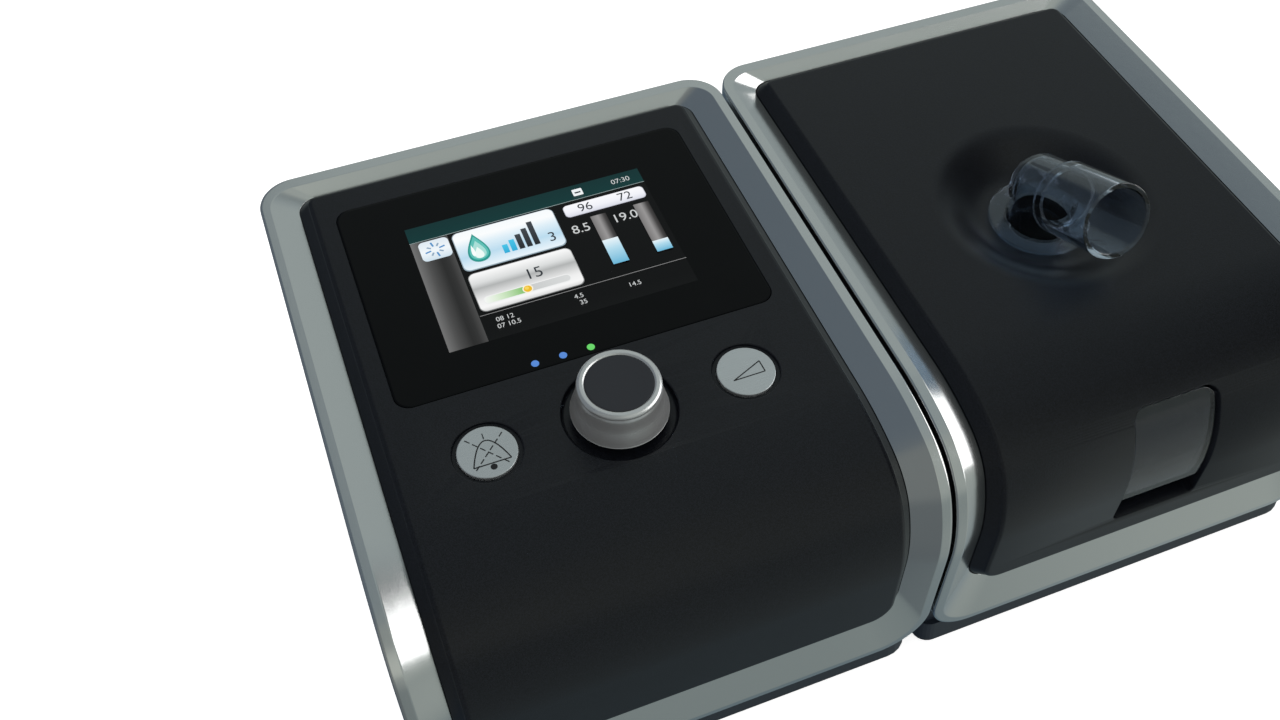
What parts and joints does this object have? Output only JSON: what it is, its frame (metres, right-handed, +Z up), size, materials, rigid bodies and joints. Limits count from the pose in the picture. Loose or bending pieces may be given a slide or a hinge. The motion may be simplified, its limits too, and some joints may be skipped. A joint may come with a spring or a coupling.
{
  "type": "positive airway pressure machine",
  "caption": "Bedside positive airway pressure machine with a display, knob and buttons, and a docked heated humidifier with a hinged lid and a swivel elbow for the hose.",
  "frame": {"origin": "on the table under the middle of the two docked modules' outline", "axes": "+X towards the humidifier (the user's right), +Y towards the back, +Z up"},
  "size_m": [0.2906, 0.1804, 0.1274],
  "materials": {
    "case": "fine grain",
    "frame": "satin silver",
    "panel": "satin, fine grain",
    "lens": "gloss",
    "display": "lit display",
    "board": "solder mask",
    "button": "brushed",
    "knob_cap": "matte",
    "light": "lit",
    "steel": "plain",
    "heater": "plain",
    "element": "film",
    "white": "plain",
    "black": "plain",
    "rubber": "matt",
    "filter": "felt",
    "card": "plain",
    "contact": "plated",
    "clear": "clear plastic"
  },
  "bodies": {
    "main_unit": {"main_base": "case", "main_case": "case", "main_frame": "frame", "fascia_panel": "panel", "screen_lens": "lens", "display_module": "display", "ui_board": "board", "tact_switches": "black", "encoder_body": "steel", "indicator_lights": "light", "main_board": "board", "buzzer": "black", "ribbon_cable": "element", "blower_housing": "white", "blower_motor": "steel", "blower_mounts": "rubber", "inlet_duct": "white", "muffler_foam": "rubber", "outlet_duct": "white", "flow_sensor": "board", "dc_inlet": "black", "sd_socket": "steel", "dock_contacts": "contact", "main_feet": "rubber", "main_screws": "steel", "ui_screws": "steel"},
    "knob_plunger": {"encoder_plunger": "white"},
    "knob": {"encoder_shaft": "steel", "knob_shell": "button", "knob_cap": "knob_cap"},
    "mute": {"mute_button": "button"},
    "ramp": {"ramp_button": "button"},
    "blower_rotor": {"impeller": "white"},
    "filter_tray": {"filter_cover": "case", "air_filter": "filter"},
    "memory_card": {"sd_card": "card"},
    "humidifier": {"humidifier_base": "case", "humidifier_case": "case", "humidifier_frame": "frame", "water_tub": "clear", "tub_plate": "steel", "heater_plate": "heater", "heater_element": "element", "air_socket": "black", "dock_pads": "contact", "humidifier_feet": "rubber", "humidifier_screws": "steel", "hinge_pins": "steel"},
    "lid": {"lid_panel": "panel", "water_window": "clear", "lid_liner": "white", "lid_gasket": "rubber", "elbow_seal": "rubber"},
    "elbow": {"elbow": "clear"}
  },
  "joints": [
    {"name": "knob_press", "type": "slide", "parent": "main_unit", "child": "knob_plunger", "axis": [0, 0.165, -0.9863], "range_m": [0, 0.0006], "stiffness_N_per_m": 400},
    {"name": "knob_turn", "type": "hinge", "parent": "knob_plunger", "child": "knob", "pos_m": [-0.0703, -0.04159, 0.09875], "axis": [0, -0.165, 0.9863], "continuous": true},
    {"name": "mute_press", "type": "slide", "parent": "main_unit", "child": "mute", "axis": [0, 0.165, -0.9863], "range_m": [0, 0.001], "stiffness_N_per_m": 300},
    {"name": "ramp_press", "type": "slide", "parent": "main_unit", "child": "ramp", "axis": [0, 0.165, -0.9863], "range_m": [0, 0.001], "stiffness_N_per_m": 300},
    {"name": "impeller_spin", "type": "hinge", "parent": "main_unit", "child": "blower_rotor", "pos_m": [-0.0763, 0.00761, 0.03], "axis": [0, 0, 1], "continuous": true},
    {"name": "filter_pull", "type": "slide", "parent": "main_unit", "child": "filter_tray", "axis": [0, 0.9911, 0.1335], "range_m": [0, 0.025]},
    {"name": "card_slide", "type": "slide", "parent": "main_unit", "child": "memory_card", "axis": [-1, 0, 0], "range_m": [0, 0.026]},
    {"name": "undock", "type": "slide", "parent": "main_unit", "child": "humidifier", "axis": [1, 0, 0], "range_m": [0, 0.06]},
    {"name": "lid_hinge", "type": "hinge", "parent": "humidifier", "child": "lid", "pos_m": [0.0756, 0.06138, 0.11355], "axis": [-1, 0, 0], "range_deg": [0, 65]},
    {"name": "elbow_swivel", "type": "hinge", "parent": "lid", "child": "elbow", "pos_m": [0.0756, -0.01575, 0.10307], "axis": [0, -0.165, 0.9863], "continuous": true}
  ]
}
